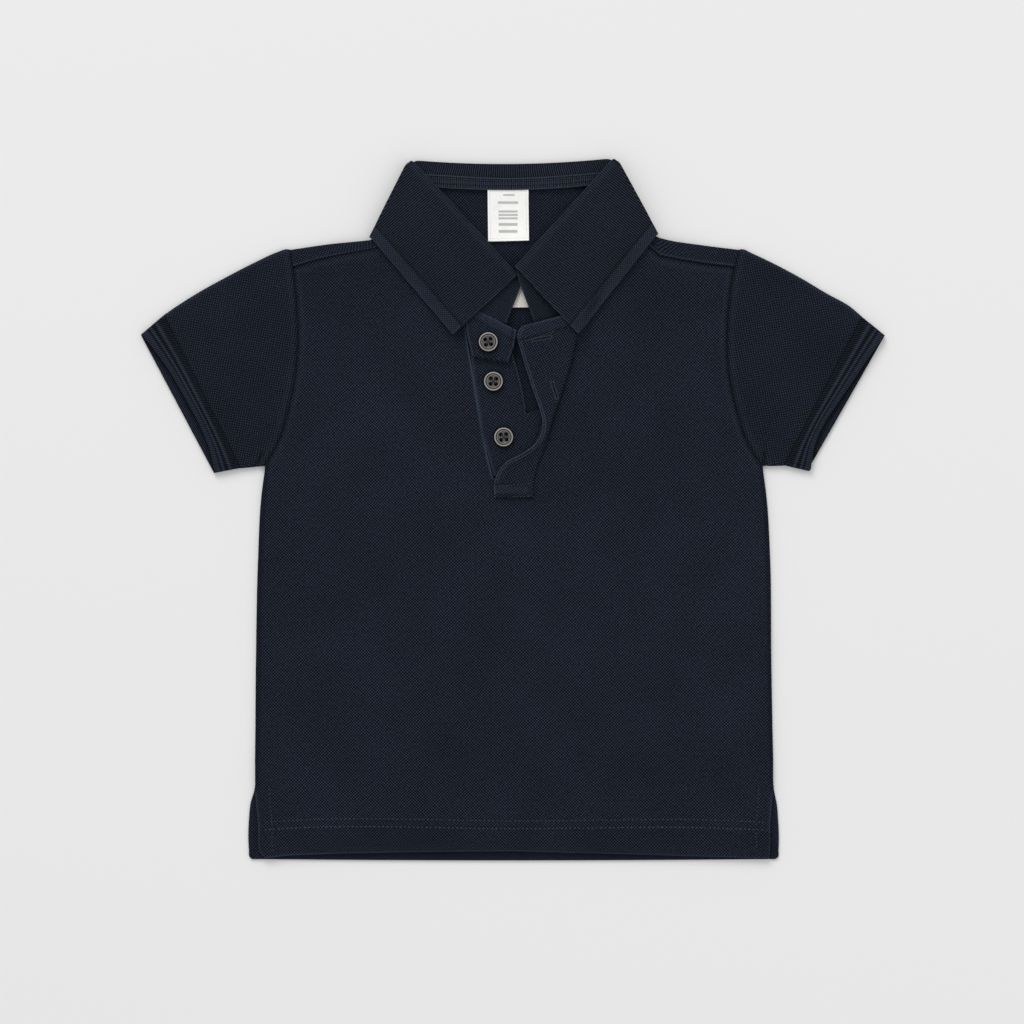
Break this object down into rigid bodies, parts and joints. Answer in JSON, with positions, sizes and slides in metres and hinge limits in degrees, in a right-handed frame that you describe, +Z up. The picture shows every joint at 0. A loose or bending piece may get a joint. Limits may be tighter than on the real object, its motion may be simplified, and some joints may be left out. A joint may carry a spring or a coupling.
{
  "type": "polo shirt",
  "caption": "Child's short-sleeved pique polo shirt in washed navy with a rib collar, rib cuffs and an open button placket, laid flat face up.",
  "frame": {"origin": "middle of the footprint, on the surface that the garment lies on", "axes": "+X towards the wearer's left sleeve, +Y from the hem to the collar, +Z up from the surface"},
  "size_m": [0.3917, 0.3725, 0.0096],
  "materials": {
    "navy_pique": "matt washed pique knit",
    "navy_pique_sleeve": "matt washed pique knit",
    "navy_rib": "matt flat-knit rib",
    "navy_tape": "matt woven tape",
    "white_label": "smooth woven label",
    "cream_label": "smooth woven label",
    "grey_button": "satin"
  },
  "bodies": {
    "root": {"back": "navy_pique", "front": "navy_pique", "sleeve_r": "navy_pique_sleeve", "sleeve_l": "navy_pique_sleeve", "cuff_r": "navy_rib", "cuff_l": "navy_rib", "collar": "navy_rib", "neck_tape": "navy_tape", "neck_label": "white_label", "care_label": "cream_label", "placket_button": "navy_pique", "placket_top": "navy_pique", "button_1": "grey_button", "button_2": "grey_button", "button_3": "grey_button"}
  },
  "joints": []
}
